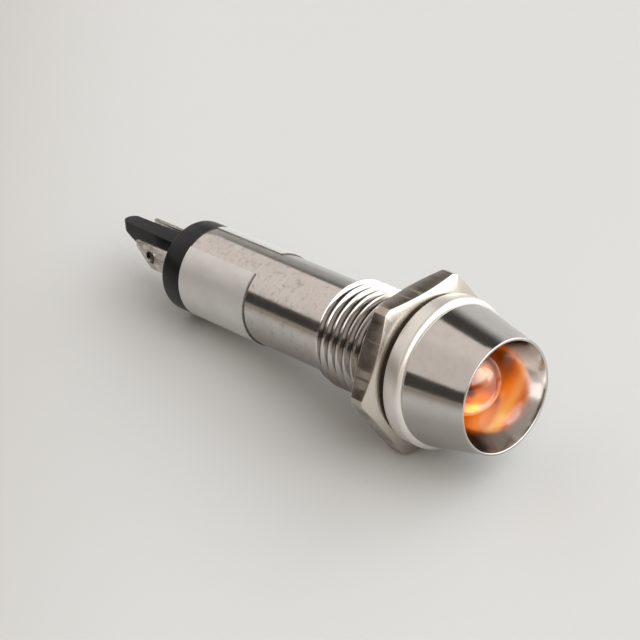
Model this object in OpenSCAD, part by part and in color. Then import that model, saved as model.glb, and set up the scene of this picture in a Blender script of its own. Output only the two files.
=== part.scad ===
// Panel pilot light: a turned metal lamp body with a conical bezel, a threaded neck with a hex
// nut, a plain tube with a label, and a moulded rear plug that carries two solder lugs.
// The lamp's axis is X and the lens looks along +X. The origin is the centre of the flange's
// seat, the face that meets the panel. +Z is up.

/* [Head] */
// Length of the head, from the flange's seat to the lip
head_len = 6.2; // [5.6:0.1:8]
// Diameter of the cone at its lip
lip_d = 8.3; // [7.6:0.1:8.8]
// Width of the lip's flat front
lip_w = 0.2; // [0.1:0.05:0.4]
// Diameter of the cone at its base
cone_d = 10.2; // [9.4:0.1:10.6]
// Diameter of the flange
flange_d = 10.9; // [10.7:0.1:11.4]
// Thickness of the flange
flange_t = 1.45; // [1.2:0.05:2]
// Depth of the turned line between the flange and the cone
line_depth = 0.08; // [0.04:0.01:0.12]
// Width of the turned line between the flange and the cone
line_w = 0.06; // [0.04:0.01:0.12]
// Depth of the reflector's cone behind the lip
reflector_depth = 5; // [4:0.1:5.4]

/* [Thread and nut] */
// Thread diameter over its crests
thread_d = 8; // [7.7:0.1:8.6]
// Distance from one thread crest to the next
thread_pitch = 0.75; // [0.5:0.05:1]
// Length of the threaded neck behind the seat
thread_len = 8.6; // [6:0.1:11]
// Width of the smooth undercut between the seat and the thread
undercut_w = 0.7; // [0.4:0.1:1.2]
// Width of the nut across its flats
nut_af = 11.5; // [11:0.1:13]
// Thickness of the nut
nut_t = 2; // [1.6:0.1:3]
// Gap between the seat and the nut at rest
nut_gap = 0.5; // [0.2:0.05:1.5]
// Radial clearance of the nut over the thread's crests
nut_clear = 0.04; // [0.02:0.01:0.08]
// How far inside its flats the nut's face chamfer starts
nut_face_in = 0.5; // [0.3:0.05:0.7]
// Angle of the chamfer against the nut's faces
nut_face_angle = 20; // [12:1:30]
// Angle by which the nut is turned from flat side down
nut_turn = 4.5; // [0:0.5:30]
// How far the nut's corners are blunted
nut_corner_cut = 0.14; // [0.05:0.01:0.25]

/* [Tube and label] */
// Outside diameter of the tube
tube_d = 6.9; // [6.8:0.05:7.1]
// Length of the body behind the seat
tube_len = 24; // [22.5:0.5:32]
// Length of the label along the tube
label_len = 7.3; // [5:0.1:10]
// Thickness of the label
label_t = 0.08; // [0.04:0.01:0.12]
// Angle of the bare strip that the label leaves along the top
label_gap = 45.5; // [10:0.5:90]

/* [Light-emitting diode] */
// Diameter of the lens
led_d = 4.9; // [4.6:0.1:5]
// Diameter of the lens's rear flange
led_flange_d = 5.8; // [5.5:0.05:5.85]
// Radial clearance of the lens's rear flange in the tube's bore
led_fit = 0.075; // [0.05:0.005:0.1]
// Thickness of the lens's rear flange
led_flange_t = 1; // [0.8:0.1:1.4]
// Overall length of the lens
led_len = 8.6; // [8:0.1:9.2]
// Distance of the dome's tip behind the lip
led_depth = 1.35; // [1:0.05:1.8]
// Distance between the two leads
lead_pitch = 2.54; // [2.4:0.02:2.6]
// Side of the square leads
lead_w = 0.5; // [0.4:0.02:0.56]
// Side of the light-emitting chip
die_w = 0.3; // [0.2:0.02:0.4]
// Diameter of the chip's reflecting cup
cup_d = 1.2; // [1:0.05:1.3]
// Length of the clear potting behind the lens
potting_len = 1; // [0.6:0.1:1.3]

/* [Resistor] */
// Diameter of the coated resistor at its ends
resistor_d = 2.3; // [1.9:0.1:2.4]
// Length of the coated resistor
resistor_len = 6.3; // [5:0.1:6.8]
// Diameter of the resistor's leads
resistor_lead_d = 0.5; // [0.4:0.02:0.6]
// Distance from the lens's rear face to the resistor
resistor_gap = 5.6; // [5.2:0.1:6]
// Wall of the insulating sleeves
sleeve_t = 0.15; // [0.1:0.01:0.2]

/* [Rear plug] */
// Diameter of the plug's ring
ring_d = 7.02; // [6.9:0.02:7.3]
// Thickness of the plug's ring behind the tube
ring_t = 2.05; // [1.6:0.05:3]
// Length of the plug's spigot inside the tube
spigot_len = 2.85; // [2:0.05:3.4]
// Length of the fin behind the ring
fin_len = 8.2; // [7.4:0.1:10]
// Height of the fin
fin_h = 3.2; // [2.8:0.1:3.8]
// Thickness of the fin at the ring
fin_root_t = 1.7; // [1.4:0.05:1.9]
// Thickness of the fin at its tip
fin_tip_t = 1.3; // [1:0.05:1.4]
// Radius of the fin's tip
fin_round = 0.6; // [0.4:0.05:0.7]
// Length of the fin's slanted edge along the axis
fin_slant = 4.6; // [4:0.1:5]

/* [Solder lugs] */
// Thickness of a lug
lug_t = 0.3; // [0.2:0.02:0.4]
// Width of a lug
lug_w = 1.95; // [1.8:0.05:2.2]
// Height of a lug's upper edge above the axis
lug_top = 1.25; // [1.1:0.05:1.35]
// Length of the near lug behind the ring
near_len = 4.95; // [4.4:0.05:5.4]
// Length of the far lug behind the ring
far_len = 6.9; // [6.4:0.05:7.2]
// Length of a lug's slanted end along the axis
lug_slant = 1.6; // [1.4:0.05:1.8]
// Height of a lug's slanted end
lug_slant_h = 1.45; // [1.3:0.05:1.6]
// Diameter of the wire eye
eye_d = 1; // [0.7:0.05:1.1]
// Distance from a lug's end to its wire eye
eye_in = 1.7; // [1.6:0.05:1.9]
// Width of a lug's tail inside the tube
tail_w = 1.4; // [1.2:0.05:1.5]
// Length of the lug's tail in front of the plug
tail_len = 1.8; // [1.5:0.1:2.2]

/* [Hidden] */
$fn = 96;
small_fn = 48;

// Head
lip_r = lip_d / 2;
lip_break = 0.05;
cone_r = cone_d / 2;
flange_r = flange_d / 2;
flange_round = flange_r - cone_r + line_depth;
seat_break = 0.1;
line_r = cone_r - line_depth;
cone_x = flange_t + line_w + line_depth;

// Thread: a 60 degree profile with a flat crest and a wider flat root
thread_r = thread_d / 2;
crest_w = thread_pitch / 8;
root_w = thread_pitch / 4;
flank_w = (thread_pitch - crest_w - root_w) / 2;
thread_h = flank_w / tan(30);
root_r = thread_r - thread_h;
thread_lead_in = 0.3;
groove_count = floor((thread_len - thread_lead_in - undercut_w - crest_w) / thread_pitch);

// Nut
nut_corner_r = nut_af / 2 / cos(30) - nut_corner_cut;
nut_face_r = nut_af / 2 - nut_face_in;
nut_chamfer = (nut_corner_r - nut_face_r) * tan(nut_face_angle);
nut_bore_r = thread_r + nut_clear;
nut_sink = 0.25;
nut_front = -nut_gap;
nut_rear = -nut_gap - nut_t;

// Tube and label
tube_r = tube_d / 2;
bore_r = led_flange_d / 2 + led_fit;
tube_break = 0.08;
glue_gap = 0.01;
label_r = tube_r + glue_gap;
label_rear = -tube_len + tube_break;
label_edge = -145;

// Light-emitting diode
led_r = led_d / 2;
led_clear = 0.1;
led_hole_r = led_r + led_clear;
led_tip = head_len - led_depth;
dome_x = led_tip - led_r;
led_rear = led_tip - led_len;
led_step = led_rear + led_flange_t;
reflector_x = head_len - reflector_depth;
flat_step = 0.15;
flange_flat = led_r + flat_step;
lead_y = lead_pitch / 2;
frame_setback = 1.3;
frame_top = dome_x - frame_setback;
cup_depth = 0.2;
cup_floor = frame_top - cup_depth;
cup_wall = 0.12;
anvil_h = 0.7;
anode_head_h = 0.5;
anode_head_reach = 0.5;
wire_r = 0.03;
wire_landing = 0.27;
wire_span = lead_y - wire_landing;
potting_clear = 0.015;
potting_r = bore_r - potting_clear;
potting_rear = led_rear - potting_len;

// Resistor, on the anode lead's side
resistor_r = resistor_d / 2;
res_lead_r = resistor_lead_d / 2;
solder_film = 0.03;
res_z = lead_w / 2 + solder_film + res_lead_r;
res_front = led_rear - resistor_gap;
res_rear = res_front - resistor_len;
waist_depth = 0.15;
waist_r = resistor_r - waist_depth;
waist_taper = 0.5;
coat_t = 0.12;
cap_t = 0.15;
cap_r = resistor_r - coat_t;
cap_len = 1.2;
core_r = cap_r - cap_t;
end_coat = 0.25;

// Rear plug and lugs
ring_rear = -tube_len - ring_t;
ring_r = ring_d / 2;
ring_break = 0.2;
spigot_clear = 0.03;
spigot_r = bore_r - spigot_clear;
spigot_front = -tube_len + spigot_len;
lug_in = lead_y + lead_w / 2 + solder_film;
lug_out = lug_in + lug_t;
tail_front = spigot_front + tail_len;
lug_low = lug_top - lug_w;
eye_z = lug_top - lug_w / 2;

// Soldered joints and sleeves
splice_gap = 1.6;
splice_len = 1.6;
splice_over = 0.2;
solder_wall = 0.3;
splice_r = lead_w + solder_wall;
splice_front = potting_rear - splice_gap;
splice_rear = splice_front - splice_len;
anode_end = splice_rear - splice_over;
res_lead_front = splice_front + splice_over;
lead_gap = 0.3;
lead_end = spigot_front + lead_gap;
solder_r = 0.5;
tail_bare = 0.2;
solder_front = tail_front - tail_bare;
sleeve_gap = 0.5;
sleeve_front = potting_rear - sleeve_gap;
sleeve_over = 0.9;
sleeve_clear = 0.05;
res_sleeve_rear = res_rear - sleeve_over;
res_sleeve_r = resistor_r + sleeve_clear;
cathode_sleeve_rear = tail_front + sleeve_gap;
cathode_sleeve_r = lead_w / 2 * sqrt(2) + glue_gap;

// A body turned about the X axis, from points [radius, x]
module turned(points, fn = $fn) {
    rotate([0, 90, 0]) rotate_extrude($fn = fn) polygon(points);
}

// A rod along X between two places on an axis at [y, z]
module rod(x0, x1, r, y = 0, z = 0, fn = small_fn) {
    translate([min(x0, x1), y, z]) rotate([0, 90, 0]) cylinder(h = abs(x1 - x0), r = r, $fn = fn);
}

// A box between two opposite corners
module block(low, high) {
    translate(low) cube(high - low);
}

// A tube along X on an axis at [y, z]
module sleeve(x0, x1, r, y, z) {
    difference() {
        rod(x0, x1, r + sleeve_t, y, z);
        rod(min(x0, x1) - 1, max(x0, x1) + 1, r, y, z);
    }
}

function thread_points() = [
    for (i = [0 : groove_count - 1])
        let (x = -thread_len + thread_lead_in + crest_w + i * thread_pitch)
        for (p = [[thread_r, x], [root_r, x + flank_w], [root_r, x + flank_w + root_w],
                  [thread_r, x + 2 * flank_w + root_w]]) p
];

function flange_arc() = [
    for (a = [0 : 15 : 90])
        [flange_r - flange_round * (1 - cos(a)), flange_t - flange_round * (1 - sin(a))]
];

// Turned brass body: bezel, flange, threaded neck and tube in one piece
module shell() {
    color("silver") turned(concat(
        [[bore_r, -tube_len], [tube_r - tube_break, -tube_len], [tube_r, -tube_len + tube_break],
         [tube_r, -thread_len], [thread_r - thread_lead_in, -thread_len],
         [thread_r, -thread_len + thread_lead_in]],
        thread_points(),
        [[root_r, -undercut_w], [root_r, 0], [flange_r - seat_break, 0], [flange_r, seat_break]],
        flange_arc(),
        [[line_r, flange_t + line_w], [cone_r, cone_x], [lip_r, head_len - lip_break],
         [lip_r - lip_break, head_len], [lip_r - lip_w, head_len],
         [led_hole_r, reflector_x], [led_hole_r, led_step], [bore_r, led_step]]
    ));
}

// Hex nut with chamfered faces and blunted corners, one flat facing down but for its turn
module mounting_nut() {
    color("tan") difference() {
        intersection() {
            translate([nut_rear, 0, 0]) rotate([nut_turn, 0, 0]) rotate([0, 90, 0]) rotate([0, 0, 30])
                cylinder(h = nut_t, d = nut_af / cos(30), $fn = 6);
            turned([[0, nut_rear], [nut_face_r, nut_rear], [nut_corner_r, nut_rear + nut_chamfer],
                    [nut_corner_r, nut_front - nut_chamfer], [nut_face_r, nut_front],
                    [0, nut_front]]);
        }
        rod(nut_rear - 1, nut_front + 1, nut_bore_r, fn = $fn);
        turned([[0, nut_front - nut_sink], [nut_bore_r, nut_front - nut_sink],
                [nut_bore_r + 2 * nut_sink, nut_front + nut_sink], [0, nut_front + nut_sink]]);
        turned([[0, nut_rear - nut_sink], [nut_bore_r + 2 * nut_sink, nut_rear - nut_sink],
                [nut_bore_r, nut_rear + nut_sink], [0, nut_rear + nut_sink]]);
    }
}

// Adhesive label wrapped round the tube from below, its two edges short of meeting on top
module label_wrap() {
    color("gainsboro") translate([label_rear, 0, 0]) rotate([0, 90, 0]) rotate([0, 0, label_edge])
        rotate_extrude(angle = 360 - label_gap)
            translate([label_r, 0]) square([label_t, label_len]);
}

// Outline of the fin in the XZ plane: a level top, a round tip and a slanted lower edge
module fin_outline() {
    tip_x = ring_rear - fin_len;
    top = fin_h / 2;
    round_x = tip_x + fin_round;
    round_z = top - fin_round;
    slant_angle = atan2(round_z + top, fin_slant);
    translate([round_x, round_z]) circle(r = fin_round, $fn = small_fn);
    polygon([
        [round_x, top], [-tube_len, top], [-tube_len, -top], [round_x + fin_slant, -top],
        [round_x - fin_round * sin(slant_angle), round_z - fin_round * cos(slant_angle)]
    ]);
}

// Wedge that the fin is cut from: thick at the ring, thinner at the tip
module fin_wedge() {
    tip_x = ring_rear - fin_len;
    translate([0, 0, -fin_h]) linear_extrude(2 * fin_h)
        polygon([[-tube_len, -fin_root_t / 2], [-tube_len, fin_root_t / 2],
                 [ring_rear, fin_root_t / 2], [tip_x, fin_tip_t / 2],
                 [tip_x, -fin_tip_t / 2], [ring_rear, -fin_root_t / 2]]);
}

// Outline in the XZ plane of a lug that ends at the given place
module lug_outline(end) {
    difference() {
        polygon([
            [end, lug_top], [spigot_front, lug_top], [spigot_front, tail_w / 2], [tail_front, tail_w / 2],
            [tail_front, -tail_w / 2], [spigot_front, -tail_w / 2], [spigot_front, lug_low],
            [end + lug_slant, lug_low], [end, lug_low + lug_slant_h]
        ]);
        translate([end + eye_in, eye_z]) circle(d = eye_d, $fn = small_fn);
    }
}

// One stamped lug of the given length, its inner face lug_in away from the axis on the +Y side
module lug_shape(len) {
    translate([0, lug_out, 0]) rotate([90, 0, 0]) linear_extrude(lug_t) lug_outline(ring_rear - len);
}

module lug_far() {
    color("lightgray") lug_shape(far_len);
}

module lug_near() {
    color("lightgray") mirror([0, 1, 0]) lug_shape(near_len);
}

// Slots that the two lugs pass through
module lug_slots() {
    for (side = [-1, 1])
        block([ring_rear - 1, side * (lug_in + lug_t / 2) - lug_t / 2, lug_low],
              [spigot_front + 1, side * (lug_in + lug_t / 2) + lug_t / 2, lug_top]);
}

// Moulded plug: a spigot in the tube, a ring behind it and a fin between the lugs
module rear_plug() {
    color("#222222") difference() {
        union() {
            turned([[0, ring_rear], [ring_r - ring_break, ring_rear], [ring_r, ring_rear + ring_break],
                    [ring_r, -tube_len], [spigot_r, -tube_len], [spigot_r, spigot_front],
                    [0, spigot_front]]);
            intersection() {
                translate([0, fin_root_t, 0]) rotate([90, 0, 0]) linear_extrude(2 * fin_root_t)
                    fin_outline();
                fin_wedge();
            }
        }
        lug_slots();
    }
}

// Anode: a square post with a small head beside the cup
module anode_shape() {
    block([anode_end, lead_y - lead_w / 2, -lead_w / 2],
          [frame_top, lead_y + lead_w / 2, lead_w / 2]);
    block([frame_top - anode_head_h, lead_y - anode_head_reach, -lead_w / 2],
          [frame_top, lead_y + lead_w / 2, lead_w / 2]);
}

// Cathode: a square post, an anvil that reaches to the axis and the chip's reflecting cup
module cathode_shape() {
    difference() {
        union() {
            block([lead_end, -lead_y - lead_w / 2, -lead_w / 2],
                  [cup_floor - cup_wall, -lead_y + lead_w / 2, lead_w / 2]);
            block([cup_floor - anvil_h, -lead_y - lead_w / 2, -lead_w / 2],
                  [cup_floor - cup_wall, cup_d / 4, lead_w / 2]);
            block([cup_floor - anvil_h, -cup_d / 4, -lead_w / 2], [cup_floor, cup_d / 4, lead_w / 2]);
            rod(cup_floor - cup_wall, frame_top, cup_d / 2);
        }
        turned([[0, cup_floor], [die_w, cup_floor], [cup_d / 2 - cup_wall / 2, frame_top],
                [0, frame_top]], small_fn);
    }
}

module die_shape() {
    block([cup_floor, -die_w / 2, -die_w / 2], [frame_top, die_w / 2, die_w / 2]);
}

// Half ring of wire from the chip's top to the anode's head
module bond_wire_shape() {
    translate([frame_top, wire_span / 2, 0]) rotate([0, 0, -90])
        rotate_extrude(angle = 180, $fn = small_fn)
            translate([wire_span / 2, 0]) circle(r = wire_r, $fn = 16);
}

module led_anode_frame() {
    color("silver") anode_shape();
}

module led_cathode_frame() {
    color("silver") cathode_shape();
}

module led_die() {
    color("gold") die_shape();
}

module led_bond_wire() {
    color("gold") bond_wire_shape();
}

// Cast lens with a dome, a cylinder and a rear flange with its flat on the cathode's side
module led_lens() {
    color("darkorange") difference() {
        union() {
            translate([dome_x, 0, 0]) sphere(r = led_r);
            rod(led_rear, dome_x, led_r, fn = $fn);
            intersection() {
                rod(led_rear, led_step, led_flange_d / 2, fn = $fn);
                block([led_rear - 1, -flange_flat, -led_flange_d],
                      [led_step + 1, led_flange_d, led_flange_d]);
            }
        }
        anode_shape();
        cathode_shape();
        die_shape();
        bond_wire_shape();
    }
}

// Clear resin that holds the lens in the tube
module led_potting() {
    color("ivory") difference() {
        rod(potting_rear, led_rear, potting_r, fn = $fn);
        anode_shape();
        cathode_shape();
    }
}

// Places a resistor's piece on the resistor's axis
module on_resistor() {
    translate([0, lead_y, res_z]) children();
}

module resistor_core() {
    color("white") on_resistor()
        rod(res_rear + end_coat + cap_t, res_front - end_coat - cap_t, core_r);
}

// End cap pressed over the core, its closed end at x and its mouth towards the middle
module end_cap(x, towards) {
    difference() {
        rod(x, x + towards * cap_len, cap_r);
        rod(x + towards * cap_t, x + towards * (cap_len + 1), core_r);
    }
}

module resistor_cap_front() {
    color("lightgray") on_resistor() end_cap(res_front - end_coat, -1);
}

module resistor_cap_rear() {
    color("lightgray") on_resistor() end_cap(res_rear + end_coat, 1);
}

// Dipped coating, wider over the caps than at the waist
module resistor_coat() {
    bulge = cap_len + end_coat;
    color("burlywood") on_resistor() difference() {
        turned([[0, res_rear], [resistor_r - end_coat, res_rear], [resistor_r, res_rear + end_coat],
                [resistor_r, res_rear + bulge], [waist_r, res_rear + bulge + waist_taper],
                [waist_r, res_front - bulge - waist_taper], [resistor_r, res_front - bulge],
                [resistor_r, res_front - end_coat], [resistor_r - end_coat, res_front],
                [0, res_front]], small_fn);
        rod(res_rear + end_coat + cap_len, res_front - end_coat - cap_len, core_r);
        rod(res_rear + end_coat, res_rear + end_coat + cap_len, cap_r);
        rod(res_front - end_coat, res_front - end_coat - cap_len, cap_r);
        rod(res_rear - 1, res_front + 1, res_lead_r);
    }
}

module resistor_lead_front() {
    color("lightgray") on_resistor() rod(res_front - end_coat, res_lead_front, res_lead_r);
}

module resistor_lead_rear() {
    color("lightgray") on_resistor() rod(res_rear + end_coat, lead_end, res_lead_r);
}

module anode_sleeve() {
    color("#303030") sleeve(res_sleeve_rear, sleeve_front, res_sleeve_r, lead_y, res_z);
}

module cathode_sleeve() {
    color("#f0f0e8") sleeve(cathode_sleeve_rear, sleeve_front, cathode_sleeve_r, -lead_y, 0);
}

// A bead of solder round a lead, with tapered ends
module bead(x0, x1, r, y, z) {
    taper = (x1 - x0) / 4;
    end_r = r * 0.75;
    translate([0, y, z])
        turned([[0, x0], [end_r, x0], [r, x0 + taper], [r, x1 - taper], [end_r, x1], [0, x1]], small_fn);
}

// Anode lead soldered to the resistor's front lead
module anode_solder() {
    color("gray") difference() {
        bead(splice_rear, splice_front, splice_r, lead_y, res_z / 2);
        anode_shape();
        on_resistor() rod(splice_rear - 1, splice_front + 1, res_lead_r);
    }
}

// Solder between a lead and the inner face of its lug
module lug_bead(z) {
    intersection() {
        bead(lead_end, solder_front, solder_r, lead_y, z);
        block([lead_end, 0, -lug_w / 2], [tail_front, lug_in, lug_w]);
    }
}

module lug_far_solder() {
    color("gray") difference() {
        lug_bead(res_z);
        on_resistor() rod(lead_end - 1, tail_front + 1, res_lead_r);
    }
}

module lug_near_solder() {
    color("gray") difference() {
        mirror([0, 1, 0]) lug_bead(0);
        cathode_shape();
    }
}

shell();
mounting_nut();
label_wrap();
rear_plug();
lug_near();
lug_far();
led_lens();
led_anode_frame();
led_cathode_frame();
led_die();
led_bond_wire();
led_potting();
resistor_core();
resistor_cap_front();
resistor_cap_rear();
resistor_coat();
resistor_lead_front();
resistor_lead_rear();
anode_sleeve();
cathode_sleeve();
anode_solder();
lug_far_solder();
lug_near_solder();
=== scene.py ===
import math

import bpy
from mathutils import Matrix, Vector


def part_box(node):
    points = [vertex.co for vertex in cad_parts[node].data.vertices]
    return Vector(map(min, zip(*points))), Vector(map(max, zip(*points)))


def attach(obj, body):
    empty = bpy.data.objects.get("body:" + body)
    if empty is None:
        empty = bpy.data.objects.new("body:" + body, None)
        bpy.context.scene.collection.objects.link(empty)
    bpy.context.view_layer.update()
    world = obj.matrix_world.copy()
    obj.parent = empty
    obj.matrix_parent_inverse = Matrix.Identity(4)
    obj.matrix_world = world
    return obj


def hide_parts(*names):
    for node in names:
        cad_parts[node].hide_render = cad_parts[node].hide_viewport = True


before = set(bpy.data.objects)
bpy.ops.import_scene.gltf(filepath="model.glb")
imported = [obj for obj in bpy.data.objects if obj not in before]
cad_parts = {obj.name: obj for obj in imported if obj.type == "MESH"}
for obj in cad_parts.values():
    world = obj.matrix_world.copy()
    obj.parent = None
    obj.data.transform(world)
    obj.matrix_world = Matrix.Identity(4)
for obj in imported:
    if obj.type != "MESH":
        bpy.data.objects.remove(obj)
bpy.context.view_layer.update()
mm = 0.001


def hexColour(code):
    # sRGB hex to the linear values that a shader wants
    parts = [int(code[i:i + 2], 16) / 255 for i in (1, 3, 5)]
    linear = [p / 12.92 if p <= 0.04045 else ((p + 0.055) / 1.055) ** 2.4 for p in parts]
    return (*linear, 1)


def metres(values):
    return [v * mm for v in values]


def addNode(tree, kind, settings=None, links=None):
    # one node with its settings, by property or socket, and what feeds its sockets
    node = tree.nodes.new(kind)
    for key, value in (settings or {}).items():
        if isinstance(key, str) and hasattr(node, key):
            setattr(node, key, value)
        else:
            node.inputs[key].default_value = value
    for key, source in (links or {}).items():
        tree.links.new(source, node.inputs[key])
    return node


def deselectAll():
    if bpy.context.object and bpy.context.object.mode != "OBJECT":
        bpy.ops.object.mode_set(mode="OBJECT")
    bpy.ops.object.select_all(action="DESELECT")


def makeActive(piece):
    deselectAll()
    piece.select_set(True)
    bpy.context.view_layer.objects.active = piece


def startEdit(piece):
    # the whole piece is selected, ready to be edited
    makeActive(piece)
    bpy.ops.object.mode_set(mode="EDIT")
    bpy.ops.mesh.select_all(action="SELECT")


def endEdit():
    bpy.ops.object.mode_set(mode="OBJECT")


def startPiece(name):
    # names the new primitive and moves its place into its mesh
    piece = bpy.context.object
    piece.name = name
    piece.data.name = name
    bpy.ops.object.transform_apply(location=True, rotation=True, scale=True)
    return piece


def addBlock(name, low, high):
    # a box between two corners, in millimetres
    deselectAll()
    middle = [(a + b) / 2 * mm for a, b in zip(low, high)]
    bpy.ops.mesh.primitive_cube_add(size=1, location=middle)
    bpy.context.object.scale = [(b - a) * mm for a, b in zip(low, high)]
    return startPiece(name)


def applyModifiers(piece):
    makeActive(piece)
    for modifier in list(piece.modifiers):
        bpy.ops.object.modifier_apply(modifier=modifier.name)


def addModifier(piece, kind, **settings):
    modifier = piece.modifiers.new(kind.lower(), kind)
    for key, value in settings.items():
        setattr(modifier, key, value)
    return modifier


def combine(piece, tool, operation):
    # cuts, joins or trims a piece with another shape, which is then thrown away
    addModifier(piece, "BOOLEAN", object=tool, operation=operation, solver="EXACT")
    applyModifiers(piece)
    bpy.data.objects.remove(tool, do_unlink=True)


def roundEdges(piece, width, degrees, segments):
    addModifier(piece, "BEVEL", width=width * mm, segments=segments, limit_method="ANGLE",
                angle_limit=math.radians(degrees), harden_normals=False)
    applyModifiers(piece)


def smoothByAngle(piece, degrees):
    makeActive(piece)
    bpy.ops.object.shade_smooth_by_angle(angle=math.radians(degrees))


def tidyMesh(piece, gap=0.0005):
    # welds points nearer than the gap, in millimetres, and turns all faces outward
    startEdit(piece)
    bpy.ops.mesh.remove_doubles(threshold=gap * mm)
    bpy.ops.mesh.normals_make_consistent(inside=False)
    endEdit()


def selectParts(piece, kind, test):
    # picks vertices or faces, and leaves the piece in edit mode
    startEdit(piece)
    bpy.ops.mesh.select_mode(type=kind)
    bpy.ops.mesh.select_all(action="DESELECT")
    endEdit()
    for part in piece.data.vertices if kind == "VERT" else piece.data.polygons:
        part.select = bool(test(part))
    bpy.ops.object.mode_set(mode="EDIT")


def selectVerts(piece, test):
    # by their place, in millimetres
    selectParts(piece, "VERT", lambda vert: test(vert.co / mm))


def selectFaces(piece, test):
    # by their middle, in millimetres, and their normal
    selectParts(piece, "FACE", lambda face: test(face.center / mm, face.normal))


def turnPiece(name, stations, sides=192):
    # a ring is drawn out along the lamp's axis and scaled at each station (x, radius); on the
    # axis it shrinks to a pinhead, which the weld closes
    deselectAll()
    pinhead = 0.002
    x, radius = stations[0]
    radius = max(radius, pinhead)
    bpy.ops.mesh.primitive_circle_add(vertices=sides, radius=radius * mm, location=(x * mm, 0, 0),
                                      rotation=(0, math.pi / 2, 0))
    piece = startPiece(name)
    startEdit(piece)
    for nextX, nextRadius in stations[1:]:
        nextRadius = max(nextRadius, pinhead)
        bpy.ops.mesh.extrude_edges_move(TRANSFORM_OT_translate={"value": ((nextX - x) * mm, 0, 0)})
        scale = nextRadius / radius
        bpy.ops.transform.resize(value=(1, scale, scale), center_override=(nextX * mm, 0, 0))
        x, radius = nextX, nextRadius
    endEdit()
    tidyMesh(piece, gap=0.005)
    return piece


def arc(centreX, centreR, radius, startDegrees, endDegrees, steps):
    # stations round an arc: 0 points forward, 90 points outward
    points = []
    for i in range(steps + 1):
        angle = math.radians(startDegrees + (endDegrees - startDegrees) * i / steps)
        points.append((centreX + radius * math.cos(angle), centreR + radius * math.sin(angle)))
    return points


def line(start, end, steps):
    # stations along a straight flank, without its first point
    return [(start[0] + (end[0] - start[0]) * i / steps, start[1] + (end[1] - start[1]) * i / steps)
            for i in range(1, steps + 1)]


def cutWith(piece, point, normal):
    # slices off what lies beyond a plane and closes the cut
    startEdit(piece)
    bpy.ops.mesh.bisect(plane_co=metres(point), plane_no=normal, use_fill=True,
                        clear_outer=True, clear_inner=False)
    endEdit()


def objectPlace(tree, scale=(1, 1, 1)):
    place = addNode(tree, "ShaderNodeTexCoord")
    return addNode(tree, "ShaderNodeMapping", {"Scale": scale},
                   {"Vector": place.outputs["Object"]}).outputs["Vector"]


def axisOf(tree, place, axis):
    return addNode(tree, "ShaderNodeSeparateXYZ", None, {0: place}).outputs[axis]


def speckle(tree, place, size, detail=3.0, roughness=0.5):
    # soft noise with blobs of about this many millimetres
    return addNode(tree, "ShaderNodeTexNoise",
                   {"Scale": 1 / (size * mm), "Detail": detail, "Roughness": roughness},
                   {"Vector": place}).outputs["Fac"]


def spread(tree, value, low, high, fromLow=0.0, fromHigh=1.0, smooth=False):
    kind = "SMOOTHSTEP" if smooth else "LINEAR"
    return addNode(tree, "ShaderNodeMapRange",
                   {"interpolation_type": kind, "From Min": fromLow, "From Max": fromHigh,
                    "To Min": low, "To Max": high}, {"Value": value}).outputs["Result"]


def mixColour(tree, factor, first, second):
    # blends two colours, each a hex value or another node's output
    node = addNode(tree, "ShaderNodeMix", {"data_type": "RGBA"}, {0: factor})
    for place, colour in ((6, first), (7, second)):
        if isinstance(colour, str):
            node.inputs[place].default_value = hexColour(colour)
        else:
            tree.links.new(colour, node.inputs[place])
    return node.outputs[2]


def sums(tree, operation, first, second):
    node = addNode(tree, "ShaderNodeMath", {"operation": operation})
    for place, value in enumerate((first, second)):
        if isinstance(value, (int, float)):
            node.inputs[place].default_value = value
        elif value is not None:
            tree.links.new(value, node.inputs[place])
    return node.outputs[0]


def newMaterial(name, look):
    material = bpy.data.materials.new(name)
    material.use_nodes = True
    tree = material.node_tree
    tree.nodes.clear()
    surface = addNode(tree, "ShaderNodeBsdfPrincipled",
                      {"Metallic": look.get("metal", 0.0), **look.get("extra", {})})
    addNode(tree, "ShaderNodeOutputMaterial", None, {"Surface": surface.outputs["BSDF"]})
    return material, tree, surface


def relief(tree, surface, height, depth):
    # turns a height pattern into the shading of a surface this many millimetres deep
    bump = addNode(tree, "ShaderNodeBump", {"Strength": 1.0, "Distance": depth * mm}, {"Height": height})
    tree.links.new(bump.outputs["Normal"], surface.inputs["Normal"])


def unevenGloss(tree, pattern, look):
    # the pattern's middle range runs between the finish's two roughnesses
    return spread(tree, pattern, *look["gloss"], 0.3, 0.7)


def mottledFinish(name, look):
    # the plain kind of finish: two near tones in soft blobs, uneven gloss and a fine grain
    material, tree, surface = newMaterial(name, look)
    place = objectPlace(tree)
    blobs = speckle(tree, place, look["blob"], 4.0)
    tree.links.new(mixColour(tree, blobs, look["light"], look["dark"]), surface.inputs["Base Color"])
    tree.links.new(unevenGloss(tree, blobs, look), surface.inputs["Roughness"])
    relief(tree, surface, speckle(tree, place, look["grain"], 2.0), look["depth"])
    return material


def wear(piece, *materials):
    piece.data.materials.clear()
    for material in materials:
        piece.data.materials.append(material)


def finishPiece(piece, body, slot, *nodes):
    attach(piece, body)
    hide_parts(*nodes)
    print("made", piece.name, "-", len(piece.data.polygons), "faces")


shellLow, shellHigh = (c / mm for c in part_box("shell"))
nutLow, nutHigh = (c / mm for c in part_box("mounting_nut"))
plugLow, plugHigh = (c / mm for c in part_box("rear_plug"))
labelLow, labelHigh = (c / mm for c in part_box("label_wrap"))
lensLow, _ = (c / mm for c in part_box("led_lens"))

# the finish of the turned body: bright nickel over brass, a warm grey mirror that the
# turning tool's fine rings and years of handling have softened
plateLook = {
    "light": "#CDC9C5", "dark": "#BBB6B2", "scuff": "#857C76", "rootDarkTone": "#2E2824",
    "undersideShadeTone": "#4E4641", "gloss": (0.1, 0.18), "metal": 1.0,
    "toolMark": 0.09, "cloud": 1.5, "grit": 0.16, "scuffSize": 0.55,
}
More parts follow.
